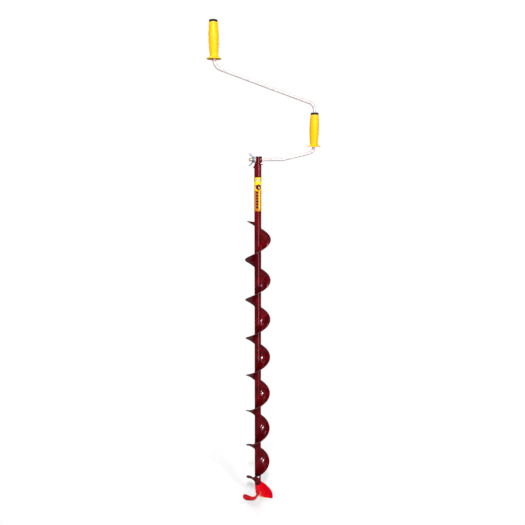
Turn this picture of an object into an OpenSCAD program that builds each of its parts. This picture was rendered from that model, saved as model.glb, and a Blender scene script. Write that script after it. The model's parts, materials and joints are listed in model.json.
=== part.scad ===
// Hand ice auger: a long screw on a steel tube, a two-knife cutting head and a folding crank
// with two turning grips. The drilling axis is Z, the cutting edges touch Z = 0, and the
// crank lies in the XZ plane with its upper grip on the -X side.

/* [Shaft] */
// Outer diameter of the shaft tube
tube_d = 22; // [21:0.5:23]
// Wall thickness of the shaft tube
tube_wall = 2; // [1.5:0.25:2.5]
// Height of the tube's lower end
tube_low = 66; // [64:1:68]
// Height of the tube's upper end
tube_top = 1212; // [1200:1:1400]
// Diameter of the neck that carries the crank
neck_d = 17.7; // [17:0.1:17.9]
// Length of the printed label
label_len = 105; // [60:5:110]

/* [Screw] */
// Outer diameter of the screw
flight_d = 84; // [76:1:90]
// Rise of the screw in one turn
flight_pitch = 135.8; // [130:0.2:140]
// Number of turns of the screw
flight_turns = 7.1; // [5:0.1:7.2]
// Thickness of the screw's sheet
flight_t = 2; // [1.6:0.1:2.4]
// Height of the screw's rim above its inner edge
flight_dish = 9.5; // [6:0.5:10]

/* [Cutting head] */
// Half width of the cut, to the knives' outer corners
cut_r = 53.2; // [51:0.2:54]
// Angle at which the knives' plates climb
knife_rake = 49; // [45:1:52]
// Thickness of the knives' sheet
knife_t = 3; // [2:0.5:4]
// Turn of the cutting head about the drilling axis, against the crank
head_turn = -18.5; // [-30:0.5:30]

/* [Crank] */
// Diameter of the crank's rod
rod_d = 10; // [9:0.5:10]
// Distance of the upper grip from the drilling axis
upper_reach = 133; // [120:1:150]
// Distance of the lower grip from the drilling axis
lower_reach = 188.6; // [170:0.1:200]
// Height of the lower grip above the fold axis
lower_grip_rise = 38.4; // [37:0.1:45]
// Height of the upper grip above the fold axis
upper_grip_rise = 284.2; // [280:0.1:300]
// Diameter of the fold bolt
bolt_d = 10; // [9:0.5:10]

/* [Grips] */
// Length of a grip with its end cap
grip_len = 104.4; // [100:0.1:115]
// Diameter of a grip at its waist and its top
grip_d = 25; // [24:0.5:26]
// Extra diameter at a grip's widest place
grip_swell = 4.6; // [3:0.1:6]
// Diameter of a grip's flange
flange_d = 42.6; // [38:0.2:46]

/* [Hidden] */
$fn = 64;

burgundy = "#640a14";
knife_red = "#eb0019";
grip_yellow = "#ffe100";
cap_black = "#161616";
bright_zinc = "#d8dade";
blue_zinc = "#b4bccb";
yellow_zinc = "#cfae6a";

tube_r = tube_d / 2;
bore_r = tube_r - tube_wall;
fold_z = tube_top + 12.7;
running_gap = 0.06;

// Neck, and the two small fasteners that hold it in the tube.
neck_r = neck_d / 2;
neck_top = fold_z + 9.3;
neck_depth = 32;
neck_pin_r = 1.5;
neck_pin_z = tube_top - 2.5;
neck_screw_r = 3;
neck_screw_z = tube_top - 10.5;

// Label: a film that wraps this far around the side away from the lower grip.
label_low = tube_top - 41.5 - label_len;
label_t = 0.15;
label_wrap = 200;
label_middle = -108.5;

// Screw: the sheet starts this far round from the first knife, its leading corner is rounded
// off, and its lowest turn is pressed up at the rim.
flight_start = 110;
flight_lead = 50;
flight_lead_depth = 0.95;
flight_trail = 100;
flight_end = flight_start + 360 * flight_turns;
flight_base = tube_low - 43.4;
flight_lift = 7;
flight_lift_angle = 450;
flight_steps = round(44 * flight_turns);
flight_root = tube_r - 0.6;
flight_shares = [0, 0.5, 1];
flight_rise = flight_pitch / (2 * PI);

// Cutting head.
shank_low = 20;
spigot_top = tube_low + 62;
head_bolt_z = 105;
head_bolt_r = 2.5;
head_hex_r = 4.62;
head_hex_t = 3.5;
head_bolt_turn = head_turn - 80;
head_seat = tube_r + 0.1;
head_washer_r = 5;
head_washer_t = 1;
head_nut_t = 4;

// Knife plate: x runs outward, s climbs the plate from the cutting edge, w stands off the plate.
edge_y = 4.6;
edge_z = -0.2;
edge_t = 0.4;
bevel_share = 0.13;
crease_x = 12.7;
crease_slope = 1;
crease_round = 2;
fold_x = cut_r - 7.2;
fold_slope = 1.25;
fold_round = 4;
fold_lean = 24;
knife_columns = 27;
knife_rows = 16;
// Cutting edge, then rear edge and rim of the plate: share of the width, then x and s.
knife_edge = [[0, -1.4, 16], [0.1, 4, 11.5], [0.26, crease_x, 3.2], [0.58, 30, 0.3],
    [1, cut_r - 1, 0]];
knife_rim = [[0, 2.4, 60], [0.2, 12.3, 58], [0.5, 27.5, 46.2], [0.72, cut_r - 12, 33],
    [0.84, cut_r - 5.6, 25], [0.92, cut_r - 2.4, 18.7], [0.97, cut_r - 0.6, 13], [1, cut_r, 5]];

// Fold bolt and what is stacked on it, along X from the neck outward.
bolt_r = bolt_d / 2;
stack = 9.2;
washer_t = 2;
washer_r = 10;
spring_t = 2.2;
spring_r = 9;
loose_hole_r = bolt_r + 0.5;
hex_corner_r = 9.8;
hex_t = 6.4;
hex_face = stack + washer_t + hex_t;
nut_seat = stack + washer_t + spring_t;
nut_len = 5.6;
bolt_end = 28;
groove_at = 21;
groove_w = 1;
groove_depth = 0.5;
bolt_chamfer = 0.7;

// Wings of the wing nut: middle of each wing's root and tip, out along the bolt and up.
wing_root = [15.4, 6.6];
wing_tip = [26.4, 17.2];
wing_w = 4.2;
wing_t = 3.2;

// Crank: corners of the rod in the XZ plane, then the radius of each bend.
// The rod thins a little where it is bent, so each straight length laps over the bend's end.
rod_r = rod_d / 2;
bend_thinning = 0.01;
bend_lap = 0.3;
lower_grip_z = fold_z + lower_grip_rise;
upper_grip_z = fold_z + upper_grip_rise;
rod_end = upper_grip_z + grip_len - 12.2;
crank_corners = [[hex_face, fold_z], [84.6, fold_z], [lower_reach, lower_grip_z - 16.1],
    [lower_reach, lower_grip_z + grip_len + 24.8], [-upper_reach, upper_grip_z - 20.9],
    [-upper_reach, rod_end]];
crank_bends = [40, 18.5, 25, 26];

// Grip.
cap_t = 6.5;
cap_r = grip_d / 2 - 0.2;
flange_t = 2.6;
flare_r = flange_d / 2 - flange_t / 2 - grip_d / 2;
seat_r = 9.2;
spigot_len = 5;
push_nut_r = 8;
push_nut_t = 1.5;
push_nut_gap = 0.5;
pocket_depth = 13.7;

function mix(a, b, t) = a * (1 - t) + b * t;
function unit(v) = v / norm(v);

// Value of a table of [key, x, s] rows at key f, by straight lines between rows.
function along(table, f, i = 0) =
    i > len(table) - 3 || f <= table[i + 1][0]
        ? let (a = table[i], b = table[i + 1])
            mix([a[1], a[2]], [b[1], b[2]], (f - a[0]) / (b[0] - a[0]))
        : along(table, f, i + 1);

// Closed skin over a grid of rings: rows of points, each row a closed loop of the same length.
function ring_faces(rows, width) = [
    for (j = [0 : rows - 2], i = [0 : width - 1])
        let (a = j * width + i, b = j * width + (i + 1) % width)
            each [[a, b, b + width], [a, b + width, a + width]]];

// Screw ----------------------------------------------------------------------------------

function lift_at(angle) = flight_lift * pow(max(0, 1 - (angle - flight_start) / flight_lift_angle), 2);

// Outer radius of the sheet, less where its leading corner is rounded off.
function rim_at(angle) = let (back = max(0, 1 - (angle - flight_start) / flight_lead))
    mix(tube_r, flight_d / 2, sqrt(1 - flight_lead_depth * back * back));

// Fall of the sheet from its rim to the tube, which flattens out toward the upper end.
function dish_at(angle) = let (near = max(0, 1 - (flight_end - angle) / flight_trail))
    (flight_dish + lift_at(angle)) * (1 - near * near);

function flight_point(share, angle, side) = let (
    r = mix(flight_root, rim_at(angle), share),
    slope = dish_at(angle) / (flight_d / 2 - tube_r))
    [r * cos(angle), r * sin(angle), flight_base + flight_pitch * angle / 360 + lift_at(angle)
        - slope * (flight_d / 2 - r)]
    + unit([flight_rise * sin(angle) - slope * r * cos(angle),
        -flight_rise * cos(angle) - slope * r * sin(angle), r]) * side * flight_t / 2;

module flight() {
    width = 2 * len(flight_shares);
    rows = flight_steps + 1;
    points = [
        for (j = [0 : flight_steps])
            let (angle = flight_start + 360 * flight_turns * j / flight_steps)
                each concat(
                    [for (f = flight_shares) flight_point(f, angle, 1)],
                    [for (f = flight_shares) flight_point(1 - f, angle, -1)])];
    cap = [[0, 4, 1], [0, 5, 4], [1, 3, 2], [1, 4, 3]];
    last = (rows - 1) * width;
    faces = concat(
        ring_faces(rows, width),
        cap,
        [for (f = cap) [last + f[2], last + f[1], last + f[0]]]);
    color(burgundy) rotate([0, 0, head_turn]) polyhedron(points, faces, convexity = 16);
}

// Shaft ----------------------------------------------------------------------------------

module across(z, turn = 0) {
    rotate([0, 0, turn]) translate([0, 0, z]) rotate([0, 90, 0]) children();
}

module shaft_tube() {
    color(burgundy) difference() {
        rotate_extrude() polygon([[bore_r, tube_low], [tube_r, tube_low], [tube_r, tube_top - 1.5],
            [tube_r - 1.2, tube_top], [bore_r, tube_top]]);
        across(head_bolt_z, head_bolt_turn) cylinder(h = 4 * tube_r, r = head_bolt_r, center = true);
        across(neck_pin_z) cylinder(h = 2 * tube_r, r = neck_pin_r);
        across(neck_screw_z, 180) cylinder(h = 2 * tube_r, r = neck_screw_r);
    }
}

module neck_plug() {
    color(burgundy) difference() {
        rotate_extrude() polygon([[0, tube_top - neck_depth], [bore_r, tube_top - neck_depth],
            [bore_r, tube_top], [neck_r, tube_top + 2],
            [neck_r, neck_top - 1], [neck_r - 1, neck_top], [0, neck_top]]);
        across(fold_z) cylinder(h = 4 * neck_r, r = bolt_r + running_gap, center = true);
        across(neck_pin_z) translate([0, 0, 3]) cylinder(h = neck_r, r = neck_pin_r);
        across(neck_screw_z, 180) translate([0, 0, 2]) cylinder(h = neck_r, r = neck_screw_r);
    }
}

module neck_pin() {
    color(burgundy) across(neck_pin_z) translate([0, 0, 3]) cylinder(h = 12.8, r = neck_pin_r);
}

module neck_screw() {
    head_r = 3.8;
    color(burgundy) across(neck_screw_z, 180) {
        translate([0, 0, 2]) cylinder(h = tube_r - 1.8, r = neck_screw_r);
        translate([0, 0, tube_r + 0.2]) rotate_extrude()
            polygon([[0, 0], [head_r, 0], [head_r, 1.2], [head_r - 1.4, 2.8], [0, 2.8]]);
    }
}

module label() {
    color(grip_yellow) rotate([0, 0, label_middle - label_wrap / 2])
        rotate_extrude(angle = label_wrap) translate([tube_r, label_low]) square([label_t, label_len]);
}

// Cutting head ---------------------------------------------------------------------------

module cutter_shank() {
    color(knife_red) difference() {
        rotate_extrude() polygon([[0, shank_low], [5.5, shank_low], [7.5, shank_low + 10],
            [10, shank_low + 30], [tube_r - 0.2, tube_low - 4], [tube_r - 0.2, tube_low],
            [bore_r, tube_low], [bore_r, spigot_top - 1], [bore_r - 1, spigot_top], [0, spigot_top]]);
        across(head_bolt_z, head_bolt_turn) cylinder(h = 4 * tube_r, r = head_bolt_r, center = true);
    }
}

// Rise of a sheet beyond a fold of the given slope, at distance d past it.
function fold(d, slope, round) = slope * (d + sqrt(d * d + round * round)) / 2;

// Height of the sheet off the plate: the outer side turns up along a slanting fold, and the
// inner side along a crease, up to the shank it is welded to.
function sheet_height(x, s) =
    fold(unit([50, fold_lean]) * [x - fold_x, s], fold_slope, fold_round)
    + fold(crease_x - x, crease_slope, crease_round);

// Point of the sheet at share f of its width, from its cutting edge (t = 0) to its rim (t = 1).
function knife_at(f, t) = let (
    p = mix(along(knife_edge, f), along(knife_rim, f), t),
    w = sheet_height(p[0], p[1]))
        [p[0], edge_y + p[1] * cos(knife_rake) - w * sin(knife_rake),
            edge_z + p[1] * sin(knife_rake) + w * cos(knife_rake)];

function knife_normal(f, t) = let (d = 0.02)
    unit(cross(knife_at(min(1, f + d), t) - knife_at(max(0, f - d), t),
        knife_at(f, min(1, t + d)) - knife_at(f, max(0, t - d))));

module knife() {
    width = 2 * (knife_columns + 1);
    shares = [for (i = [0 : knife_columns]) i / knife_columns];
    points = [
        for (j = [0 : knife_rows])
            let (t = pow(j / knife_rows, 1.3), thick = mix(edge_t, knife_t, min(1, t / bevel_share)))
                each concat(
                    [for (f = shares) knife_at(f, t)],
                    [for (i = [knife_columns : -1 : 0])
                        knife_at(shares[i], t) - knife_normal(shares[i], t) * thick])];
    cap = [for (i = [0 : knife_columns - 1]) let (k = width - 1 - i)
        each [[i, k - 1, i + 1], [i, k, k - 1]]];
    last = knife_rows * width;
    faces = concat(
        ring_faces(knife_rows + 1, width),
        cap,
        [for (f = cap) [last + f[2], last + f[1], last + f[0]]]);
    color(knife_red) polyhedron(points, faces, convexity = 8);
}

module knife_right() {
    rotate([0, 0, head_turn]) knife();
}

module knife_left() {
    rotate([0, 0, head_turn + 180]) knife();
}

module head_bolt() {
    color(bright_zinc) across(head_bolt_z, head_bolt_turn) {
        reach = head_seat + head_washer_t + head_nut_t + 1.5;
        translate([0, 0, -reach]) cylinder(h = reach + head_seat, r = head_bolt_r);
        translate([0, 0, head_seat]) cylinder(h = head_hex_t, r = head_hex_r, $fn = 6);
    }
}

module head_washer() {
    color(bright_zinc) across(head_bolt_z, head_bolt_turn + 180) translate([0, 0, head_seat])
        difference() {
            cylinder(h = head_washer_t, r = head_washer_r);
            translate([0, 0, -1]) cylinder(h = head_washer_t + 2, r = head_bolt_r);
        }
}

module head_nut() {
    color(bright_zinc) across(head_bolt_z, head_bolt_turn + 180)
        translate([0, 0, head_seat + head_washer_t]) difference() {
            cylinder(h = head_nut_t, r = head_hex_r, $fn = 6);
            translate([0, 0, -1]) cylinder(h = head_nut_t + 2, r = head_bolt_r);
        }
}

// Crank ----------------------------------------------------------------------------------

// Distance from a corner to where its bend starts.
function tangent_len(i) = let (
    back = unit(crank_corners[i - 1] - crank_corners[i]),
    on = unit(crank_corners[i + 1] - crank_corners[i]))
        crank_bends[i - 1] / tan(acos(back * on) / 2);

module rod_straight(i) {
    a = crank_corners[i];
    b = crank_corners[i + 1];
    way = unit(b - a);
    first = i == 0 ? 0 : tangent_len(i) - bend_lap;
    last = i == len(crank_corners) - 2 ? 0 : tangent_len(i + 1) - bend_lap;
    start = a + way * first;
    translate([start[0], 0, start[1]]) rotate([0, atan2(way[0], way[1]), 0])
        cylinder(h = norm(b - a) - first - last, r = rod_r);
}

module rod_bend(i) {
    corner = crank_corners[i];
    back = unit(crank_corners[i - 1] - corner);
    on = unit(crank_corners[i + 1] - corner);
    inside = acos(back * on);
    radius = crank_bends[i - 1];
    middle = corner + unit(back + on) * radius / sin(inside / 2);
    first = corner + back * tangent_len(i) - middle;
    second = corner + on * tangent_len(i) - middle;
    from = cross(first, second) > 0 ? first : second;
    translate([middle[0], 0, middle[1]]) rotate([90, 0, 0]) rotate([0, 0, atan2(from[1], from[0])])
        rotate_extrude(angle = 180 - inside) translate([radius, 0]) circle(r = rod_r - bend_thinning);
}

module crank_rod() {
    color(bright_zinc) union() {
        for (i = [0 : len(crank_corners) - 2]) rod_straight(i);
        for (i = [1 : len(crank_corners) - 2]) rod_bend(i);
    }
}

module hinge_bolt() {
    color(yellow_zinc) across(fold_z) {
        translate([0, 0, stack + washer_t]) cylinder(h = hex_t, r = hex_corner_r, $fn = 6);
        mirror([0, 0, 1]) rotate_extrude() polygon([[0, -stack - washer_t], [bolt_r, -stack - washer_t],
            [bolt_r, groove_at], [bolt_r - groove_depth, groove_at],
            [bolt_r - groove_depth, groove_at + groove_w], [bolt_r, groove_at + groove_w],
            [bolt_r, bolt_end - bolt_chamfer], [bolt_r - bolt_chamfer, bolt_end], [0, bolt_end]]);
    }
}

module ring(h, outer, inner) {
    difference() {
        cylinder(h = h, r = outer);
        translate([0, 0, -1]) cylinder(h = h + 2, r = inner);
    }
}

module hinge_washer() {
    color(burgundy) across(fold_z) translate([0, 0, stack]) ring(washer_t, washer_r, bolt_r);
}

module flat_washer() {
    color(blue_zinc) across(fold_z, 180) translate([0, 0, stack]) ring(washer_t, washer_r, loose_hole_r);
}

module spring_washer() {
    color(blue_zinc) across(fold_z, 180) translate([0, 0, stack + washer_t]) difference() {
        ring(spring_t, spring_r, loose_hole_r);
        translate([-spring_r - 1, -0.8, -1]) cube([spring_r, 1.6, spring_t + 2]);
    }
}

// One wing, drawn flat: x runs out along the bolt and y away from it.
module wing_outline() {
    way = wing_tip - wing_root;
    translate(wing_root) rotate([0, 0, atan2(way[1], way[0])])
        translate([0, -wing_w / 2]) square([norm(way), wing_w]);
    translate(wing_tip) circle(r = wing_w / 2);
}

module wing_nut() {
    color(blue_zinc) difference() {
        union() {
            across(fold_z, 180) translate([0, 0, nut_seat])
                rotate_extrude() polygon([[0, 0], [7.6, 0], [7.6, 1.4], [6.6, nut_len], [0, nut_len]]);
            for (side = [0, 1]) translate([0, 0, fold_z]) mirror([0, 0, side]) mirror([1, 0, 0])
                translate([0, wing_t / 2, 0]) rotate([90, 0, 0])
                    linear_extrude(height = wing_t) wing_outline();
        }
        across(fold_z, 180) cylinder(h = 2 * bolt_end, r = bolt_r + running_gap);
    }
}

module push_nut() {
    color(blue_zinc)
        translate([-upper_reach, 0, upper_grip_z + grip_len - cap_t - pocket_depth + push_nut_gap])
            ring(push_nut_t, push_nut_r, rod_r);
}

// Grips ----------------------------------------------------------------------------------

grip_top = grip_len - cap_t;
flare_top = flange_t + flare_r;
flange_round = flange_t / 2;

module grip(pocket) {
    waist_r = grip_d / 2;
    flange_edge = flange_d / 2 - flange_round;
    side = [for (t = [0 : 1 / 16 : 1])
        [waist_r + grip_swell / 2 * sin(180 * pow(t, 1.15)), mix(flare_top, grip_top - 0.6, t)]];
    color(grip_yellow) rotate_extrude() polygon(concat(
        [[rod_r + running_gap, 0], [flange_edge, 0]],
        [for (a = [-75 : 15 : 75]) [flange_edge + flange_round * cos(a), flange_round * (1 + sin(a))]],
        [for (a = [270 : -15 : 195]) [waist_r + flare_r * (1 + cos(a)), flare_top + flare_r * sin(a)]],
        side,
        [[waist_r - 0.6, grip_top], [seat_r, grip_top], [seat_r, grip_top - pocket],
            [rod_r + running_gap, grip_top - pocket]]));
}

module lower_grip() {
    translate([lower_reach, 0, lower_grip_z]) grip(spigot_len);
}

module upper_grip() {
    translate([-upper_reach, 0, upper_grip_z]) grip(pocket_depth);
}

module lower_ring_cap() {
    color(cap_black) translate([lower_reach, 0, lower_grip_z + grip_top]) rotate_extrude()
        polygon([[rod_r + running_gap, -spigot_len], [seat_r, -spigot_len], [seat_r, 0], [cap_r, 0],
            [cap_r, cap_t - 1.2], [cap_r - 1.2, cap_t], [rod_r + running_gap, cap_t]]);
}

module upper_cap() {
    color(cap_black) translate([-upper_reach, 0, upper_grip_z + grip_top]) rotate_extrude()
        polygon([[seat_r - 2, -spigot_len], [seat_r, -spigot_len], [seat_r, 0], [cap_r, 0],
            [cap_r, cap_t - 2], [cap_r - 0.8, cap_t - 0.8], [cap_r - 2.4, cap_t], [0, cap_t],
            [0, 0.5], [seat_r - 2, 0.5]]);
}

shaft_tube();
flight();
neck_plug();
neck_screw();
neck_pin();
label();
cutter_shank();
knife_right();
knife_left();
head_bolt();
head_washer();
head_nut();
crank_rod();
hinge_bolt();
hinge_washer();
push_nut();
flat_washer();
spring_washer();
wing_nut();
lower_grip();
lower_ring_cap();
upper_grip();
upper_cap();
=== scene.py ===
"""Looks of the hand ice auger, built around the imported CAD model. Lengths are in metres."""

import json
from math import cos, exp, hypot, pi, radians, sin, sqrt

import bpy
from mathutils import Matrix, Vector, noise


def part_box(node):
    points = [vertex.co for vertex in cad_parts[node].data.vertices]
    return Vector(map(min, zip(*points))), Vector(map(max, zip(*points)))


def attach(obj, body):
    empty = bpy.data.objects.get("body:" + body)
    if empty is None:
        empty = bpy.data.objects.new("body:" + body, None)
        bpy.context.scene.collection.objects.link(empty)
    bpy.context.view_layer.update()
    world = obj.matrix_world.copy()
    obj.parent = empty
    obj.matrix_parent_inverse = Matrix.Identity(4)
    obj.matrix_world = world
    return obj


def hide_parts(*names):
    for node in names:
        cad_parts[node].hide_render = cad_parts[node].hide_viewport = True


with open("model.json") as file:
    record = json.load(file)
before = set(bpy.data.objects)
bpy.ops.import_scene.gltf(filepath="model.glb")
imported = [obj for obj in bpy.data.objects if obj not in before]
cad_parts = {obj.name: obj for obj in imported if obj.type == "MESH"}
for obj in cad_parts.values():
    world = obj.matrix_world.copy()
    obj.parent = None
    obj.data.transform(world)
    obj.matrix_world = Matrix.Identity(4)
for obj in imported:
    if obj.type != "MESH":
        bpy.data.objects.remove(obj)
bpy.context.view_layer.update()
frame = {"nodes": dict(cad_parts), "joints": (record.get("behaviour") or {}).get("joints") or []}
MM = 0.001

# ---------------------------------------------------------------- sizes
tube_low, tube_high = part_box("shaft_tube")
TUBE_R = tube_high.x
FOLD_Z = next(j["pos_m"][2] for j in frame["joints"] if j["name"] == "crank_fold")
HEAD_TURN = radians(-18.5)

# Screw: angles are in degrees up the helix, measured before the head turn.
PITCH = 135.8 * MM
SCREW_START = 110.0
SCREW_LEAD = 50.0
SCREW_LEAD_DEPTH = 0.95
SCREW_TURNS = 7.1
SCREW_BASE = tube_low.z - 43.4 * MM
SCREW_R = 42 * MM
SCREW_T = 2 * MM
SCREW_DISH = 9.5 * MM
SCREW_LIFT = 7 * MM
SCREW_LIFT_ANGLE = 450.0
SCREW_TRAIL = 100.0


# ---------------------------------------------------------------- mesh helpers
def mesh_piece(name, points, faces, body, replaced=(), materials=(), sharp=35):
    """A mesh object that rides a body and stands for the CAD nodes it replaces."""
    mesh = bpy.data.meshes.new(name)
    mesh.from_pydata(points, [], faces)
    mesh.validate()
    piece = bpy.data.objects.new(name, mesh)
    bpy.context.scene.collection.objects.link(piece)
    for material in materials:
        mesh.materials.append(material)
    for polygon in mesh.polygons:
        polygon.use_smooth = True
    mesh.set_sharp_from_angle(angle=radians(sharp))
    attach(piece, body)
    if replaced:
        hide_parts(*replaced)
    return piece


def point_value(piece, name, values):
    """Stores one number per vertex, for a material to read."""
    piece.data.attributes.new(name, "FLOAT", "POINT").data.foreach_set("value", values)


def grid_faces(rows, width, closed=True):
    """Quads over rows of points; each row is a closed loop, or an open line."""
    last = width if closed else width - 1
    return [(j * width + i, j * width + (i + 1) % width,
             (j + 1) * width + (i + 1) % width, (j + 1) * width + i)
            for j in range(rows - 1) for i in range(last)]


def tube_along(path, radius_at, sides, up=Vector((0, 0, 1))):
    """Points and faces of a round bead along a path."""
    points = []
    for k, here in enumerate(path):
        ahead = (path[min(k + 1, len(path) - 1)] - path[max(k - 1, 0)]).normalized()
        side = ahead.cross(up).normalized()
        above = side.cross(ahead).normalized()
        r = radius_at(k)
        points += [here + side * (r * cos(2 * pi * i / sides)) + above * (r * sin(2 * pi * i / sides))
                   for i in range(sides)]
    faces = grid_faces(len(path), sides)
    faces += [tuple(reversed(range(sides))),
              tuple((len(path) - 1) * sides + i for i in range(sides))]
    return points, faces


def turned(point, angle):
    """A point turned about the shaft's axis."""
    return Matrix.Rotation(angle, 3, "Z") @ Vector(point)


# ---------------------------------------------------------------- material helpers
class Shader:
    """Small builder for node materials around one Principled BSDF."""

    def __init__(self, name):
        self.material = bpy.data.materials.new(name)
        self.material.use_nodes = True
        self.tree = self.material.node_tree
        self.bsdf = self.tree.nodes["Principled BSDF"]
        self.place = self.tree.nodes.new("ShaderNodeTexCoord").outputs["Object"]

    def node(self, kind, inputs=(), **settings):
        """A new node with the given settings and inputs."""
        made = self.tree.nodes.new(kind)
        for key, value in settings.items():
            setattr(made, key, value)
        for key, value in dict(inputs).items():
            self.put(made.inputs[key], value)
        return made

    def put(self, socket, value):
        """Sets an input to a value, or links it to another node's output."""
        if isinstance(value, bpy.types.NodeSocket):
            self.tree.links.new(value, socket)
        else:
            socket.default_value = value

    def math(self, operation, a, b=0.0, clamp=False):
        return self.node("ShaderNodeMath", {0: a, 1: b}, operation=operation,
                         use_clamp=clamp).outputs[0]

    def ramp(self, value, low, high, out_low=0.0, out_high=1.0):
        """Smooth step from out_low at low to out_high at high."""
        return self.node("ShaderNodeMapRange", {"Value": value, "From Min": low, "From Max": high,
                                                "To Min": out_low, "To Max": out_high},
                         interpolation_type="SMOOTHSTEP").outputs["Result"]

    def noise(self, scale, detail=3.0, stretch=(1, 1, 1), distortion=0.0):
        """Noise fixed to the object; a small number in stretch draws it out along that axis."""
        spread = self.node("ShaderNodeMapping", {"Vector": self.place, "Scale": stretch})
        return self.node("ShaderNodeTexNoise", {"Vector": spread.outputs[0], "Scale": scale,
                                                "Detail": detail,
                                                "Distortion": distortion}).outputs["Fac"]

    def mix(self, share, a, b):
        """Colour a where share is 0 and b where it is 1."""
        made = self.node("ShaderNodeMix", data_type="RGBA")
        self.put(made.inputs[0], share)
        self.put(made.inputs[6], a)
        self.put(made.inputs[7], b)
        return made.outputs[2]

    def attribute(self, name, output="Fac"):
        return self.node("ShaderNodeAttribute", attribute_name=name).outputs[output]

    def edges(self, radius, low=0.02, high=0.25):
        """1 on exposed sharp corners, 0 on flats and in recesses."""
        soft = self.node("ShaderNodeBevel", {"Radius": radius}, samples=6).outputs[0]
        flat = self.node("ShaderNodeNewGeometry").outputs["Normal"]
        agree = self.node("ShaderNodeVectorMath", {0: soft, 1: flat},
                          operation="DOT_PRODUCT").outputs["Value"]
        corner = self.ramp(self.math("SUBTRACT", 1.0, agree), low, high)
        open_sky = self.node("ShaderNodeAmbientOcclusion", {"Distance": 0.004}, samples=4).outputs["AO"]
        return self.math("MULTIPLY", corner, self.ramp(open_sky, 0.55, 0.9))

    def bump(self, height, strength, distance, normal=None):
        inputs = {"Height": height, "Strength": strength, "Distance": distance}
        if normal is not None:
            inputs["Normal"] = normal
        return self.node("ShaderNodeBump", inputs).outputs[0]

    def round_normal(self, radius):
        """Surface direction with the corners softened, as if rounded off."""
        return self.node("ShaderNodeBevel", {"Radius": radius}, samples=6).outputs[0]

    def finish(self, **sockets):
        """Fills the named inputs of the Principled BSDF and returns the material."""
        for key, value in sockets.items():
            self.put(self.bsdf.inputs[key.replace("_", " ")], value)
        return self.material


def rgb(red, green, blue):
    """Colour given the way a screen shows it, 0 to 255, as the linear value Blender wants."""
    def linear(v):
        v /= 255
        return v / 12.92 if v <= 0.04045 else ((v + 0.055) / 1.055) ** 2.4
    return (linear(red), linear(green), linear(blue), 1.0)


BARE_STEEL = rgb(176, 172, 168)


def enamel(name, deep, bright, worn, roughness=0.17, gloss=0.5, peel=0.015, round_edge=0.0006):
    """Gloss paint over steel, chipped off where `worn` (a function of the shader) is high."""
    s = Shader(name)
    cloud = s.noise(38, 4, distortion=0.4)
    streak = s.noise(60, 5, stretch=(1, 1, 0.12))
    colour = s.mix(s.ramp(cloud, 0.35, 0.7), deep, bright)
    colour = s.mix(s.ramp(streak, 0.55, 0.8, 0.0, 0.35), colour, deep)
    wear = s.math("MULTIPLY", worn(s), s.ramp(s.noise(420, 8), 0.44, 0.6), clamp=True)
    colour = s.mix(wear, colour, BARE_STEEL)
    rough = s.ramp(s.noise(110, 6), 0.3, 0.75, roughness * 0.75, roughness * 1.5)
    rough = s.math("ADD", rough, s.math("MULTIPLY", wear, 0.25), clamp=True)
    normal = s.bump(s.noise(420, 2), peel, 0.0008, s.round_normal(round_edge))
    normal = s.bump(s.math("SUBTRACT", 1.0, wear), 0.3, 0.0003, normal)
    return s.finish(Base_Color=colour, Metallic=wear, Roughness=rough, Normal=normal,
                    Specular_IOR_Level=gloss, Specular_Tint=rgb(255, 206, 222))


def zinc(name, pale, dark, metallic, roughness, round_edge=0.0007, grain=(1, 1, 1)):
    """Zinc plate: cloudy colour, fine drawing lines along the grain, rubbed paler on its corners."""
    s = Shader(name)
    cloud = s.noise(140, 5, distortion=0.6)
    lines = s.noise(700, 4, stretch=grain)
    colour = s.mix(s.ramp(cloud, 0.35, 0.7), pale, dark)
    colour = s.mix(s.ramp(lines, 0.5, 0.8, 0.0, 0.3), colour, dark)
    corner = s.edges(round_edge * 1.5)
    colour = s.mix(s.math("MULTIPLY", corner, 0.35), colour, rgb(235, 236, 240))
    rough = s.ramp(cloud, 0.3, 0.75, roughness * 0.8, roughness * 1.35)
    normal = s.bump(lines, 0.03, 0.0002, s.round_normal(round_edge))
    return s.finish(Base_Color=colour, Metallic=metallic, Roughness=rough, Normal=normal)


def plastic(name, base, shade, roughness, dirt, grain_strength=0.02, sheen=0.35):
    """Moulded plastic with a fine spark-eroded grain and a little dirt."""
    s = Shader(name)
    cloud = s.noise(45, 4)
    colour = s.mix(s.ramp(cloud, 0.4, 0.75), base, shade)
    grime = s.math("MULTIPLY", s.ramp(s.noise(160, 6), 0.56, 0.75), 0.1)
    colour = s.mix(grime, colour, dirt)
    grain = s.noise(1500, 3)
    rough = s.ramp(s.noise(80, 5), 0.3, 0.75, roughness * 0.85, roughness * 1.3)
    normal = s.bump(grain, grain_strength, 0.0002, s.round_normal(0.0006))
    return s.finish(Base_Color=colour, Roughness=rough, Normal=normal,
                    Specular_IOR_Level=sheen)


# ---------------------------------------------------------------- materials
burgundy = enamel("burgundy_enamel", rgb(74, 0, 4), rgb(104, 4, 10),
                  lambda s: s.math("MULTIPLY", s.edges(0.0009), 0.75))
screw_paint = enamel("burgundy_enamel_screw", rgb(74, 0, 4), rgb(104, 4, 10),
                     lambda s: s.math("MULTIPLY", s.ramp(s.attribute("rim"), 0.985, 1.0), 0.2),
                     roughness=0.13, gloss=1.0)
red = enamel("red_enamel", rgb(202, 0, 20), rgb(222, 2, 26),
             lambda s: s.math("MULTIPLY", s.edges(0.0009), 0.6))
weld_paint = enamel("burgundy_enamel_weld", rgb(60, 0, 4), rgb(88, 2, 10),
                    lambda s: 0.0, roughness=0.4)
bright_zinc = zinc("bright_zinc", rgb(216, 206, 206), rgb(196, 184, 184), 0.12, 0.34,
                   grain=(0.08, 1, 0.08))
bolt_zinc = zinc("bolt_zinc", rgb(240, 242, 242), rgb(214, 222, 224), 0.15, 0.28)
blue_zinc = zinc("blue_zinc", rgb(112, 120, 138), rgb(84, 92, 110), 0.3, 0.4)
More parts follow.
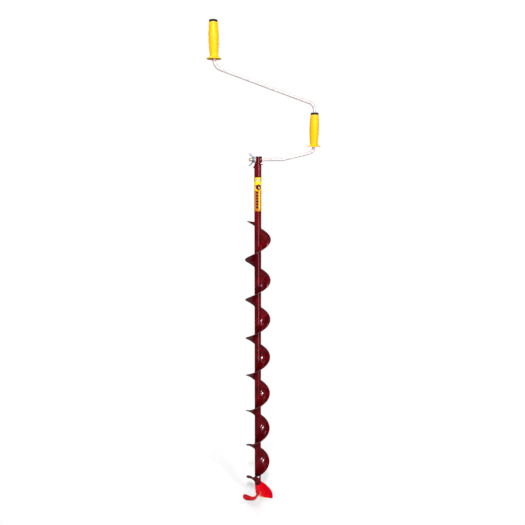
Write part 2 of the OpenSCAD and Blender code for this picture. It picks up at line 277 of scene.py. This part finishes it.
dark_zinc = zinc("dark_zinc", rgb(186, 198, 204), rgb(152, 164, 172), 0.3, 0.34)
yellow_zinc = zinc("yellow_zinc", rgb(232, 212, 176), rgb(196, 164, 118), 0.45, 0.3)
yellow = plastic("yellow_plastic", rgb(246, 180, 0), rgb(244, 176, 0), 0.3, rgb(236, 166, 0), sheen=0.22)
black = plastic("black_plastic", rgb(22, 21, 22), rgb(30, 29, 30), 0.42, rgb(70, 66, 60), sheen=0.2)


def assign(node, material):
    """Gives a CAD node one material."""
    slots = frame["nodes"][node].data.materials
    slots.clear()
    slots.append(material)


for node, material in {
        "shaft_tube": burgundy, "neck_plug": burgundy, "neck_screw": burgundy,
        "neck_pin": burgundy, "hinge_washer": burgundy, "cutter_shank": red,
        "head_bolt": bolt_zinc, "head_washer": bolt_zinc, "head_nut": bolt_zinc,
        "crank_rod": bright_zinc, "push_nut": dark_zinc, "flat_washer": dark_zinc,
        "spring_washer": dark_zinc, "wing_nut": blue_zinc, "lower_grip": yellow,
        "upper_grip": yellow, "lower_ring_cap": black, "upper_cap": black}.items():
    assign(node, material)

# ---------------------------------------------------------------- screw
SCREW_STEPS = 100
SCREW_FLATS = 6
SCREW_ROOT_IN = 0.6 * MM
RIM_ARC = 5
WELD_STEPS = 260
WELD_R = 0.8
WELD_RIPPLE = 0.12
WELD_RIPPLE_RATE = 1.9
WELD_ROUGH = 0.2
WELD_ROUGH_SCALE = 90


def screw_lift(angle):
    """How far the rim stands above an even helix; 0 past the first SCREW_LIFT_ANGLE degrees."""
    return SCREW_LIFT * max(0.0, 1 - (angle - SCREW_START) / SCREW_LIFT_ANGLE) ** 2


def screw_rim(angle):
    """Outer radius of the sheet, less where its leading corner is rounded off."""
    back = max(0.0, 1 - (angle - SCREW_START) / SCREW_LEAD)
    return TUBE_R + (SCREW_R - TUBE_R) * sqrt(1 - SCREW_LEAD_DEPTH * back ** 2)


def screw_dish(angle):
    """Fall of the sheet from its rim to the tube, which flattens out toward the upper end."""
    near = max(0.0, 1 - (SCREW_START + 360 * SCREW_TURNS - angle) / SCREW_TRAIL)
    return (SCREW_DISH + screw_lift(angle)) * (1 - near ** 2)


def screw_point(r, angle, side):
    """Point on the sheet at radius r; side is -1 on its lower face and 1 on its upper face."""
    a = radians(angle)
    rise, slope = PITCH / (2 * pi), screw_dish(angle) / (SCREW_R - TUBE_R)
    normal = Vector((rise * sin(a) - slope * r * cos(a), -rise * cos(a) - slope * r * sin(a), r))
    middle = Vector((r * cos(a), r * sin(a), SCREW_BASE + PITCH * angle / 360 + screw_lift(angle)
                     - slope * (SCREW_R - r)))
    return turned(middle + normal.normalized() * side * SCREW_T / 2, HEAD_TURN)


def build_screw():
    inner = TUBE_R - SCREW_ROOT_IN
    round_r = SCREW_T / 2
    flats = [k / SCREW_FLATS for k in range(SCREW_FLATS + 1)]
    ring = [(f, 0.0, 1.0) for f in flats]
    ring += [(1.0, sin(pi * k / RIM_ARC), cos(pi * k / RIM_ARC)) for k in range(1, RIM_ARC)]
    ring += [(f, 0.0, -1.0) for f in reversed(flats)]
    count = round(SCREW_STEPS * SCREW_TURNS)
    points, rims = [], []
    for j in range(count + 1):
        angle = SCREW_START + 360 * SCREW_TURNS * j / count
        outer = screw_rim(angle) - round_r
        for share, out, side in ring:
            r = inner + (outer - inner) * share + out * round_r
            points.append(screw_point(r, angle, side))
            rims.append((r - inner) / (outer + round_r - inner))
    width = len(ring)
    faces = grid_faces(count + 1, width)
    faces += [tuple(reversed(range(width))), tuple(count * width + i for i in range(width))]
    piece = mesh_piece("screw_sheet", points, faces, "shaft",
                       ["flight"], [screw_paint], sharp=50)
    point_value(piece, "rim", rims)


def build_screw_weld():
    """A run of weld along the inner edge of the screw, on its lower side."""
    count = round(WELD_STEPS * SCREW_TURNS)
    path = [screw_point(TUBE_R + 0.1 * MM, SCREW_START + 360 * SCREW_TURNS * j / count, -1.5)
            for j in range(count + 1)]

    def bead(k):
        ripple = WELD_RIPPLE * sin(k * WELD_RIPPLE_RATE)
        return (WELD_R + ripple + WELD_ROUGH * noise.noise(path[k] * WELD_ROUGH_SCALE)) * MM

    points, faces = tube_along(path, bead, 8)
    mesh_piece("screw_weld", points, faces, "shaft",
               materials=[weld_paint], sharp=80)


build_screw()
build_screw_weld()

# ---------------------------------------------------------------- knives
# Lengths here are in millimetres. KNIFE_EDGE and KNIFE_RIM give, for a share of the knife's
# width, the place across (x) and up the plate (s) of its cutting edge and of its upper rim.
CUT_R = 53.2
EDGE_Y = 4.6
EDGE_Z = -0.2
EDGE_T = 0.4
KNIFE_T = 3.0
BEVEL_SHARE = 0.13
RAKE = radians(49)
CREASE_X = 12.7
CREASE_SOFT = 2
FOLD_IN = 7.2
FOLD_LEAN = (50, 24)
FOLD_SLOPE = 1.25
FOLD_SOFT = 4
KNIFE_EDGE = [(0, -1.4, 16), (0.1, 4, 11.5), (0.26, CREASE_X, 3.2), (0.58, 30, 0.3), (1, CUT_R - 1, 0)]
KNIFE_RIM = [(0, 2.4, 60), (0.2, 12.3, 58), (0.5, 27.5, 46.2), (0.72, CUT_R - 12, 33),
             (0.84, CUT_R - 5.6, 25), (0.92, CUT_R - 2.4, 18.7), (0.97, CUT_R - 0.6, 13), (1, CUT_R, 5)]


def along(table, share):
    """Values of a table at a share, by straight lines between its rows."""
    for (k0, x0, s0), (k1, x1, s1) in zip(table, table[1:]):
        if share <= k1:
            t = (share - k0) / (k1 - k0)
            return x0 + (x1 - x0) * t, s0 + (s1 - s0) * t
    return table[-1][1:]


def fold(distance, slope, softness):
    """Height past a soft crease: 0 before it, rising by slope after it."""
    return slope * (distance + sqrt(distance ** 2 + softness ** 2)) / 2


def knife_at(share, t):
    """Upper face of the knife in millimetres, at a share of its width and of its climb."""
    x0, s0 = along(KNIFE_EDGE, share)
    x1, s1 = along(KNIFE_RIM, share)
    x, s = x0 + (x1 - x0) * t, s0 + (s1 - s0) * t
    past_fold = (FOLD_LEAN[0] * (x - CUT_R + FOLD_IN) + FOLD_LEAN[1] * s) / hypot(*FOLD_LEAN)
    w = fold(past_fold, FOLD_SLOPE, FOLD_SOFT) + fold(CREASE_X - x, 1, CREASE_SOFT)
    return Vector((x, EDGE_Y + s * cos(RAKE) - w * sin(RAKE), EDGE_Z + s * sin(RAKE) + w * cos(RAKE)))


def knife_normal(share, t):
    """Unit normal of the knife's upper face, from points a small step apart."""
    d = 0.02
    wide = knife_at(min(1, share + d), t) - knife_at(max(0, share - d), t)
    deep = knife_at(share, min(1, t + d)) - knife_at(share, max(0, t - d))
    return wide.cross(deep).normalized()


def knife_enamel():
    """Red enamel, ground bare along the cutting edge and scuffed toward the inner corner."""
    s = Shader("red_enamel_knife")
    cloud = s.noise(85, 4, distortion=0.8)
    colour = s.mix(s.ramp(cloud, 0.35, 0.7), rgb(196, 0, 16), rgb(226, 0, 24))
    colour = s.mix(s.ramp(s.noise(160, 6), 0.6, 0.75, 0.0, 0.5), colour, rgb(172, 0, 16))
    steel = s.mix(s.noise(300, 5, stretch=(1, 1, 4)), rgb(240, 190, 120), rgb(206, 160, 112))
    ground = s.ramp(s.attribute("ground"), 0.45, 0.55)
    ragged = s.ramp(s.noise(240, 7), 0.35, 0.65)
    scuff = s.math("MULTIPLY", s.ramp(s.attribute("scuff"), 0.08, 0.5), ragged)
    bare = s.math("MAXIMUM", ground, scuff, clamp=True)
    colour = s.mix(bare, colour, steel)
    rough = s.ramp(s.noise(120, 5), 0.3, 0.75, 0.34, 0.52)
    normal = s.bump(s.noise(500, 3), 0.08, 0.0008, s.round_normal(0.0005))
    normal = s.bump(s.math("SUBTRACT", 1.0, bare), 0.3, 0.0003, normal)
    return s.finish(Base_Color=colour, Metallic=s.math("MULTIPLY", bare, 0.7), Roughness=rough,
                    Normal=normal, Specular_IOR_Level=0.16, Specular_Tint=rgb(255, 90, 100))


knife_paint = knife_enamel()


def build_knife(name, node, turn):
    """One knife plate, from its cutting edge (row 0) up to its rim."""
    columns, rows = 80, 48
    shares = [i / columns for i in range(columns + 1)]
    points, ground, scuff = [], [], []
    for j in range(rows + 1):
        t = (j / rows) ** 1.4
        thick = EDGE_T + (KNIFE_T - EDGE_T) * min(1, t / BEVEL_SHARE)
        top = [knife_at(f, t) for f in shares]
        under = [knife_at(f, t) - knife_normal(f, t) * thick for f in reversed(shares)]
        points += [turned(p * MM, turn) for p in top + under]
        ends = [exp(-(((f - 0.1) / 0.17) ** 2)) * exp(-t * 4) for f in shares]
        scuff += ends + list(reversed(ends))
        ground += [1.0 if t < 0.035 else 0.0] * len(shares)
        ground += [1.0 if t < BEVEL_SHARE else 0.0] * len(shares)
    width = 2 * len(shares)
    faces = grid_faces(rows + 1, width)
    for first in (0, rows * width):
        strip = [(first + i, first + i + 1, first + width - 2 - i, first + width - 1 - i)
                 for i in range(columns)]
        faces += [tuple(reversed(f)) for f in strip] if first == 0 else strip
    piece = mesh_piece(name, points, faces, "shaft", [node], [knife_paint], sharp=40)
    piece.visible_diffuse = False  # keeps red light off the pale floor
    point_value(piece, "ground", ground)
    point_value(piece, "scuff", scuff)


build_knife("knife_right_sheet", "knife_right", HEAD_TURN)
build_knife("knife_left_sheet", "knife_left", HEAD_TURN + pi)

# ---------------------------------------------------------------- fold bolt
BOLT_R = 5 * MM
STACK = 9.2 * MM
WASHER_T = 2 * MM
BOLT_END = 28 * MM
HEAD_T = 6.4 * MM
HEAD_CORNER = 9.8 * MM
HEAD_STEPS = 96
THREAD_PITCH = 1.5 * MM
THREAD_DEPTH = 0.42 * MM
THREAD_FREE = 3 * MM
THREAD_STEPS = 48
THREAD_ROWS = 320
ROD_WELD_R = 1.5
ROD_WELD_RIPPLE = 0.25
ROD_WELD_RIPPLES = 22
ROD_WELD_ROUGH = 0.25


def build_fold_bolt():
    """Hexagon head with chamfered corners, and a threaded shank."""
    head_low = STACK + WASHER_T
    head_high = head_low + HEAD_T
    flat = HEAD_CORNER * cos(pi / 6)
    points, faces = [], []

    def hexagon(a, limit):
        a = (a + pi / 6) % (pi / 3) - pi / 6
        return min(flat / cos(a), limit)

    levels = [(head_low, 0.0), (head_low, flat * 0.98), (head_low + 0.5 * MM, HEAD_CORNER),
              (head_high - 1.4 * MM, HEAD_CORNER), (head_high - 0.3 * MM, flat * 1.02),
              (head_high, flat * 0.94), (head_high, 0.0)]
    for x, limit in levels:
        for k in range(HEAD_STEPS):
            a = 2 * pi * k / HEAD_STEPS
            r = hexagon(a + pi / 2, min(limit, HEAD_CORNER))
            points.append(Vector((x, r * cos(a), FOLD_Z + r * sin(a))))
    faces += grid_faces(len(levels), HEAD_STEPS)
    head_faces = len(faces)
    first = len(points)
    shank_from = head_low + 0.1 * MM
    shank_to = -BOLT_END
    for j in range(THREAD_ROWS + 1):
        x = shank_from + (shank_to - shank_from) * j / THREAD_ROWS
        for k in range(THREAD_STEPS):
            a = 2 * pi * k / THREAD_STEPS
            turn = (x / THREAD_PITCH + a / (2 * pi)) % 1.0
            cut = THREAD_DEPTH * (1 - abs(2 * turn - 1)) if x < -STACK - THREAD_FREE else 0.0
            ease = min(1.0, (x - shank_to) / (0.8 * MM))
            r = (BOLT_R - cut) * (1 - 0.14 * (1 - ease))
            points.append(Vector((x, r * cos(a), FOLD_Z + r * sin(a))))
    shank = grid_faces(THREAD_ROWS + 1, THREAD_STEPS)
    faces += [tuple(reversed([first + i for i in f])) for f in shank]
    last = first + THREAD_ROWS * THREAD_STEPS
    faces += [tuple(last + k for k in reversed(range(THREAD_STEPS))),
              tuple(first + k for k in range(THREAD_STEPS))]
    piece = mesh_piece("fold_bolt", points, faces, "crank", ["hinge_bolt"],
                       [yellow_zinc, bolt_zinc], sharp=28)
    for polygon in piece.data.polygons[:head_faces]:
        polygon.material_index = 1


build_fold_bolt()


def build_rod_weld():
    """Ring of weld where the crank's rod meets the hexagon head."""
    head_face = STACK + WASHER_T + HEAD_T
    steps, sides = 120, 10
    points = []
    for k in range(steps):
        a = 2 * pi * k / steps
        rough = ROD_WELD_ROUGH * noise.noise(Vector((cos(a), sin(a), 3)) * 2.0)
        r = (ROD_WELD_R + ROD_WELD_RIPPLE * sin(a * ROD_WELD_RIPPLES) + rough) * MM
        for i in range(sides):
            b = 2 * pi * i / sides
            out = BOLT_R + 0.3 * MM + r * cos(b)
            points.append(Vector((head_face + 0.4 * MM + r * sin(b), out * cos(a),
                                  FOLD_Z + out * sin(a))))
    faces = []
    for k in range(steps):
        here, after = k * sides, (k + 1) % steps * sides
        faces += [(here + i, here + (i + 1) % sides, after + (i + 1) % sides, after + i)
                  for i in range(sides)]
    mesh_piece("rod_weld", points, faces, "crank", materials=[bolt_zinc], sharp=80)


build_rod_weld()

# ---------------------------------------------------------------- label
LABEL_MIDDLE = radians(-108.5)
LABEL_WRAP = radians(200)
LABEL_OUT = 0.15 * MM
LABEL_IN = 0.01 * MM

# Print, in millimetres: across the film from its middle, and down from its top.
FIELD_END = 40
CORNER_END = 14
CORNER_SIDE = 8.6
STRIPE = (3.2, 6.6)
STRIPE_ENDS = (42, 100)
DASH_ROW = 26
DASH_HALF = 2.2
DASH_SIDES = (-10.5, 0)
DASH_STEP = 3.6
EMBLEM = (2.2, 30)
EMBLEM_R = 8.6
EMBLEM_RING_R = 7
EMBLEM_CORE_R = 3.4
SPOT = (4.2, 31.5)
SPOT_R = 2.2
CELL_FIRST = (-4.4, 6.5)
CELL_STEP = (4.4, 3.4)
CELL_R = 2.3
LOZENGE_X = -2
LOZENGE_FIRST = 47
LOZENGE_STEP = 9.2
LOZENGE_HALF = 4.2
LOZENGE_POINT = 4.6
LOZENGE_COUNT = 6
BORDER_AT = 17.5
BORDER_HALF = 1


def hexagon_distance(x, y):
    """Distance of a point from the middle of an upright hexagon, by its flats."""
    return max(abs(x), abs(x) * 0.5 + abs(y) * 0.866)


def label_colour(u, v, height):
    """Printed pattern: u is across the film from its middle and v up from its foot, in metres."""
    amber, lemon, wine = rgb(196, 118, 6), rgb(250, 214, 0), rgb(112, 0, 22)
    plum, lilac = rgb(76, 0, 62), rgb(160, 140, 176)
    across, down = u / MM, (height - v) / MM
    colour = lemon if down < FIELD_END else amber
    if down < CORNER_END and abs(across) > CORNER_SIDE:
        colour = amber
    if STRIPE_ENDS[0] < down < STRIPE_ENDS[1] and STRIPE[0] < across < STRIPE[1]:
        colour = lemon
    in_dash_row = abs(down - DASH_ROW) < DASH_HALF and DASH_SIDES[0] < across < DASH_SIDES[1]
    if in_dash_row and (across + down) % DASH_STEP < DASH_HALF:
        colour = wine
    d = hexagon_distance(across - EMBLEM[0], down - EMBLEM[1])
    if d < EMBLEM_R:
        colour = wine if d < EMBLEM_CORE_R or d > EMBLEM_RING_R else plum
    if hexagon_distance(across - SPOT[0], down - SPOT[1]) < SPOT_R:
        colour = lemon
    for k in range(3):
        cell_x = CELL_FIRST[0] + CELL_STEP[0] * k
        cell_y = CELL_FIRST[1] + CELL_STEP[1] * (k % 2)
        if hexagon_distance(across - cell_x, down - cell_y) < CELL_R:
            colour = lilac
    for k in range(LOZENGE_COUNT):
        off = abs(down - LOZENGE_FIRST - LOZENGE_STEP * k)
        half_width = min(LOZENGE_HALF, (LOZENGE_POINT - off) * 2)
        if off < LOZENGE_HALF and abs(across - LOZENGE_X) < half_width:
            colour = plum if k % 2 else wine
    if abs(abs(across) - BORDER_AT) < BORDER_HALF:
        colour = wine
    return colour


def label_film():
    """Glossy printed film that shows the ink colours, lightly creased and soiled."""
    s = Shader("label_film")
    ink = s.attribute("ink", "Color")
    dirt = s.ramp(s.noise(300, 6), 0.6, 0.78, 0.0, 0.15)
    colour = s.mix(dirt, ink, rgb(140, 110, 60))
    creases = s.noise(55, 3, stretch=(1, 1, 0.3))
    normal = s.bump(creases, 0.12, 0.001)
    rough = s.ramp(s.noise(90, 4), 0.3, 0.7, 0.22, 0.4)
    return s.finish(Base_Color=colour, Roughness=rough, Normal=normal, Specular_IOR_Level=0.3)


def build_label():
    """Film wrapped round the tube, printed by colouring its points."""
    low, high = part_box("label")
    height = high.z - low.z
    across, up = 150, 340
    outer = TUBE_R + LABEL_OUT
    points, colours = [], []
    for j in range(up + 1):
        for i in range(across + 1):
            a = LABEL_MIDDLE + LABEL_WRAP * (i / across - 0.5)
            points.append(Vector((outer * cos(a), outer * sin(a), low.z + height * j / up)))
            u = outer * (a - LABEL_MIDDLE)
            colours.append(label_colour(u, height * j / up, height))
    front = len(points)
    inner = TUBE_R + LABEL_IN
    edge = ([(j, 0) for j in range(up + 1)] + [(up, i) for i in range(1, across + 1)]
            + [(j, across) for j in range(up - 1, -1, -1)] + [(0, i) for i in range(across - 1, 0, -1)])
    for j, i in edge:
        p = points[j * (across + 1) + i]
        flat = Vector((p.x, p.y, 0)).normalized() * inner
        points.append(Vector((flat.x, flat.y, p.z)))
        colours.append(colours[j * (across + 1) + i])
    faces = grid_faces(up + 1, across + 1, closed=False)
    for k, (j, i) in enumerate(edge):
        after = (k + 1) % len(edge)
        j2, i2 = edge[after]
        faces.append((j * (across + 1) + i, j2 * (across + 1) + i2, front + after, front + k))
    piece = mesh_piece("label_print", points, faces, "shaft", ["label"], [label_film()])
    ink_layer = piece.data.color_attributes.new("ink", "FLOAT_COLOR", "POINT")
    for k, c in enumerate(colours):
        ink_layer.data[k].color = c


build_label()

# ---------------------------------------------------------------- floor, light and camera
# The camera was fitted to the photo. It looks along `ahead`, tipped down by CAMERA_DOWN.
VIEW_TURN = radians(18.5)
CAMERA_DOWN = radians(13.496)
CAMERA_DISTANCE = 1.5422
CAMERA_HEIGHT = 1.2668
CAMERA_SENSOR = 36
CAMERA_LENS = 33.394286
CAMERA_SHIFT = 0.0088952
FLOOR_REACH = 3.0
FLOOR_SOLID_TO = 0.16
FLOOR_CLEAR_FROM = 0.42
ahead = Vector((sin(VIEW_TURN), cos(VIEW_TURN), 0))
right = Vector((cos(VIEW_TURN), -sin(VIEW_TURN), 0))


def build_floor():
    """Pale floor under the head, clear beyond a short distance so that it has no edge."""
    floor_mesh = bpy.data.meshes.new("floor")
    corners = [(x * FLOOR_REACH, y * FLOOR_REACH, 0) for x, y in ((-1, -1), (1, -1), (1, 1), (-1, 1))]
    floor_mesh.from_pydata(corners, [], [(0, 1, 2, 3)])
    floor = bpy.data.objects.new("floor", floor_mesh)
    bpy.context.scene.collection.objects.link(floor)
    floor.visible_glossy = False
    s = Shader("floor")
    away = s.node("ShaderNodeVectorMath", {0: s.place}, operation="LENGTH").outputs["Value"]
    clear = s.node("ShaderNodeBsdfTransparent").outputs[0]
    s.finish(Base_Color=rgb(250, 250, 250), Roughness=0.9,
             Emission_Color=(1, 1, 1, 1), Emission_Strength=0.1)
    blend = s.node("ShaderNodeMixShader")
    s.put(blend.inputs[0], s.ramp(away, FLOOR_SOLID_TO, FLOOR_CLEAR_FROM))
    s.put(blend.inputs[1], s.bsdf.outputs[0])
    s.put(blend.inputs[2], clear)
    s.put(s.tree.nodes["Material Output"].inputs[0], blend.outputs[0])
    floor_mesh.materials.append(s.material)


def soft_light(name, turn, lift, distance, width, height, power, target=(0, 0, 0.8),
               mirrored=True):
    """Rectangular light; turn is to the right of the camera and lift above the horizon.

    A light that is not mirrored lights the object but shows in no reflection.
    """
    way = -ahead * cos(radians(turn)) + right * sin(radians(turn))
    way = way * cos(radians(lift)) + Vector((0, 0, sin(radians(lift))))
    data = bpy.data.lights.new(name, "AREA")
    data.shape = "RECTANGLE"
    data.size = width
    data.size_y = height
    data.energy = power
    lamp = bpy.data.objects.new(name, data)
    lamp.location = Vector(target) + way * distance
    lamp.rotation_mode = "QUATERNION"
    lamp.rotation_quaternion = way.to_track_quat("Z", "Y")
    bpy.context.scene.collection.objects.link(lamp)
    lamp.visible_glossy = mirrored


def build_world():
    """White as the camera sees it, dim as it lights the object."""
    world = bpy.data.worlds.new("studio")
    bpy.context.scene.world = world
    world.use_nodes = True
    tree = world.node_tree
    tree.nodes.clear()
    seen = tree.nodes.new("ShaderNodeLightPath").outputs["Is Camera Ray"]
    mix = tree.nodes.new("ShaderNodeMixShader")
    for socket, strength in ((1, 0.12), (2, 1.0)):
        lit = tree.nodes.new("ShaderNodeBackground")
        lit.inputs["Color"].default_value = (1, 1, 1, 1)
        lit.inputs["Strength"].default_value = strength
        tree.links.new(lit.outputs[0], mix.inputs[socket])
    tree.links.new(seen, mix.inputs[0])
    out = tree.nodes.new("ShaderNodeOutputWorld")
    tree.links.new(mix.outputs[0], out.inputs[0])


build_floor()
build_world()
soft_light("key", 0, 38, 2.4, 0.22, 0.34, 34)
soft_light("tail", -22, 31, 2.4, 0.8, 0.5, 5)
soft_light("side", 36, 8, 2.2, 0.45, 1.2, 24, target=(0, 0, 1.2))
soft_light("band", 26, 0, 2.2, 0.8, 1.3, 13, target=(0, 0, 0.1))
soft_light("fill", -55, 20, 2.6, 1.2, 1.8, 17, mirrored=False)
soft_light("back", -165, 34, 2.4, 1.4, 0.9, 20)
soft_light("top", 0, 88, 1.7, 0.9, 0.9, 12, mirrored=False)
soft_light("bounce", 12, -35, 2.5, 1.6, 0.4, 13, target=(0, 0, 1.3), mirrored=False)

camera_data = bpy.data.cameras.new("camera")
camera_data.sensor_width = CAMERA_SENSOR
camera_data.lens = CAMERA_LENS
camera_data.shift_x = CAMERA_SHIFT
camera_data.clip_start = 0.05
camera_data.clip_end = 50
camera = bpy.data.objects.new("camera", camera_data)
bpy.context.scene.collection.objects.link(camera)
camera.location = -ahead * CAMERA_DISTANCE + Vector((0, 0, CAMERA_HEIGHT))
look = ahead * cos(CAMERA_DOWN) - Vector((0, 0, sin(CAMERA_DOWN)))
camera.rotation_mode = "QUATERNION"
camera.rotation_quaternion = look.to_track_quat("-Z", "Y")
bpy.context.scene.camera = camera
bpy.context.scene.view_settings.view_transform = "Standard"
